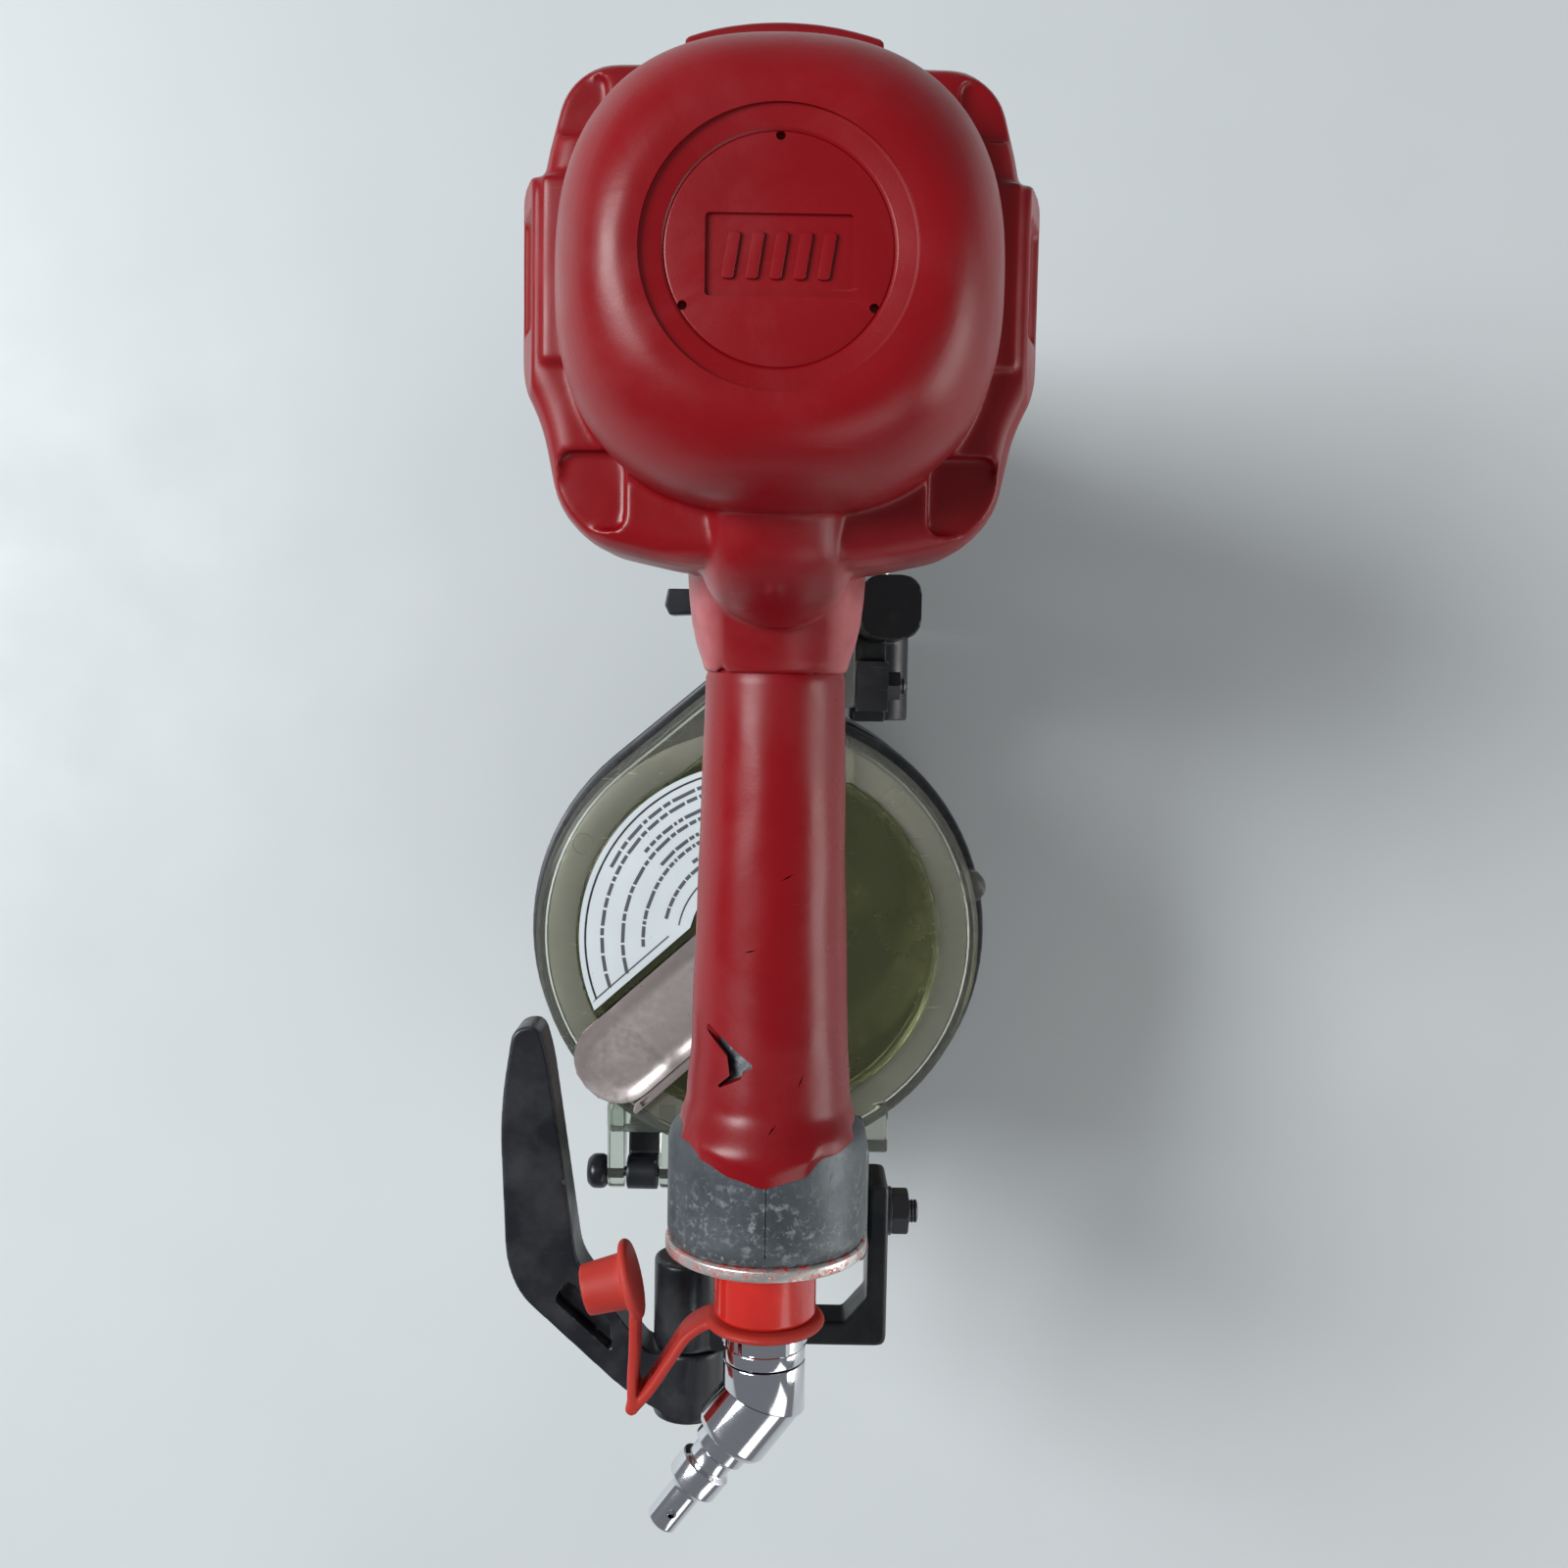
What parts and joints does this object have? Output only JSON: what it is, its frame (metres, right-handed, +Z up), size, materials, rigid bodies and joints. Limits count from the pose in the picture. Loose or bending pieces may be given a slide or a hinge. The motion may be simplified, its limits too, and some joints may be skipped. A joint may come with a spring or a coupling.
{
  "type": "pneumatic nail gun",
  "caption": "Pneumatic coil nailer with round canister magazine, rubber-covered head, gripped handle, swivel air plug and hanging hook.",
  "frame": {"origin": "centre of the contact foot's nail exit, on the driver axis", "axes": "+X to the tool's right seen from above with the head ahead, +Y forward, the handle toward -Y, +Z up with the tool standing on foot and magazine; the driver axis leans back 4.5 degrees"},
  "size_m": [0.132, 0.3184, 0.2906],
  "materials": {
    "casting": "worn grey",
    "red_rubber": "soft semi-gloss",
    "dark_rubber": "matt",
    "steel": "satin",
    "alloy": "machined",
    "red_paint": "glossy, chipped",
    "brass_mesh": "woven",
    "chrome": "polished",
    "cap_rubber": "soft matt",
    "black_plastic": "moulded",
    "dark_steel": "blackened",
    "black_metal": "black satin",
    "stainless": "scuffed",
    "yellow_plastic": "translucent yellow",
    "clear_plastic": "clear smoked plastic",
    "white_label": "printed plate"
  },
  "bodies": {
    "frame": {"body_casting": "casting", "head_cover": "red_rubber", "cylinder_cap": "casting", "cap_disc": "red_rubber", "cap_gasket": "dark_rubber", "cap_bolts": "steel", "piston_stop": "dark_rubber", "cylinder": "alloy", "cylinder_ring": "dark_rubber", "bumper": "dark_rubber", "grip_sleeve": "red_rubber", "end_cap": "red_paint", "inlet_filter": "brass_mesh", "inlet_adapter": "chrome", "dust_cap": "cap_rubber", "valve_housing": "black_plastic", "trigger_pin": "steel", "nose": "dark_steel", "nose_bolts": "steel", "door_pin": "steel", "feeder_housing": "black_metal", "feeder_bolt": "dark_steel", "magazine_lid": "clear_plastic", "lid_screws": "steel", "magazine_tongue": "stainless", "magazine_label": "white_label", "magazine_pin": "dark_steel", "rear_bracket": "black_plastic", "bracket_bolt": "dark_steel", "hook_pin": "steel", "head_valve_spring": "steel", "plunger_spring": "steel", "contact_spring": "steel"},
    "piston_unit": {"piston": "alloy", "piston_ring": "dark_rubber", "driver_blade": "steel"},
    "head_valve": {"head_valve": "alloy"},
    "trigger": {"trigger": "black_plastic", "trigger_lever": "steel"},
    "valve_plunger": {"valve_plunger": "steel"},
    "contact_arm": {"contact_foot": "steel", "contact_arm": "steel"},
    "depth_dial": {"depth_dial": "black_plastic"},
    "nose_door": {"nose_door": "dark_steel", "latch_pin": "steel"},
    "door_latch": {"door_latch": "black_plastic"},
    "feed_pawl": {"feed_piston": "alloy", "feed_pawl": "steel"},
    "magazine_cup": {"magazine_cup": "black_plastic", "magazine_liner": "stainless"},
    "nail_support": {"nail_support": "yellow_plastic"},
    "hook": {"hook": "black_plastic"},
    "swivel_elbow": {"swivel_elbow": "chrome"},
    "swivel_plug": {"swivel_plug": "chrome"}
  },
  "joints": [
    {"name": "piston_stroke", "type": "slide", "parent": "frame", "child": "piston_unit", "axis": [0, 0.079, -0.9969], "range_m": [0, 0.0925]},
    {"name": "head_valve_lift", "type": "slide", "parent": "frame", "child": "head_valve", "axis": [0, -0.079, 0.9969], "range_m": [0, 0.005], "stiffness_N_per_m": 1500, "springref_m": -0.004, "deforming": ["head_valve_spring"]},
    {"name": "trigger_pull", "type": "hinge", "parent": "frame", "child": "trigger", "pos_m": [0, -0.05825, 0.15288], "axis": [-1, 0, 0], "range_deg": [0, 13], "stiffness_Nm_per_rad": 1.5, "springref_deg": -8.59},
    {"name": "plunger_lift", "type": "slide", "parent": "frame", "child": "valve_plunger", "axis": [0, -0.079, 0.9969], "range_m": [0, 0.004], "deforming": ["plunger_spring"]},
    {"name": "contact_lift", "type": "slide", "parent": "frame", "child": "contact_arm", "axis": [0, -0.079, 0.9969], "range_m": [0, 0.0065], "stiffness_N_per_m": 600, "springref_m": -0.02, "deforming": ["contact_spring"]},
    {"name": "dial_turn", "type": "hinge", "parent": "contact_arm", "child": "depth_dial", "pos_m": [0, 0.02433, 0.06011], "axis": [0, -0.079, 0.9969], "continuous": true},
    {"name": "door_swing", "type": "hinge", "parent": "frame", "child": "nose_door", "pos_m": [-0.0165, 0.00722, 0.06076], "axis": [0, 0.079, -0.9969], "range_deg": [0, 110]},
    {"name": "latch_turn", "type": "hinge", "parent": "nose_door", "child": "door_latch", "pos_m": [-0.019, -0.05293, 0.05399], "axis": [0, 0.079, -0.9969], "range_deg": [0, 25], "stiffness_Nm_per_rad": 0.3, "springref_deg": -11.46},
    {"name": "feed_step", "type": "slide", "parent": "frame", "child": "feed_pawl", "axis": [0, -0.9969, -0.079], "range_m": [0, 0.0065], "stiffness_N_per_m": 800, "springref_m": -0.005},
    {"name": "magazine_swing", "type": "hinge", "parent": "frame", "child": "magazine_cup", "pos_m": [-0.037, -0.22298, 0.07964], "axis": [-1, 0, 0], "range_deg": [0, 70]},
    {"name": "support_height", "type": "slide", "parent": "magazine_cup", "child": "nail_support", "axis": [0, -0.079, 0.9969], "range_m": [0, 0.018]},
    {"name": "hook_swing", "type": "hinge", "parent": "frame", "child": "hook", "pos_m": [-0.019, -0.25734, 0.14614], "axis": [0, -0.9969, -0.079], "range_deg": [0, 95]},
    {"name": "swivel_turn", "type": "hinge", "parent": "frame", "child": "swivel_elbow", "pos_m": [0, -0.24492, 0.17922], "axis": [0, -0.9969, -0.079], "continuous": true},
    {"name": "plug_turn", "type": "hinge", "parent": "swivel_elbow", "child": "swivel_plug", "pos_m": [0, -0.2489, 0.17891], "axis": [-0.3173, -0.9454, -0.0749], "continuous": true}
  ],
  "couplings": [
    {"joint": "plunger_lift", "follows": "trigger_pull", "m_per_rad": 0.0165}
  ]
}
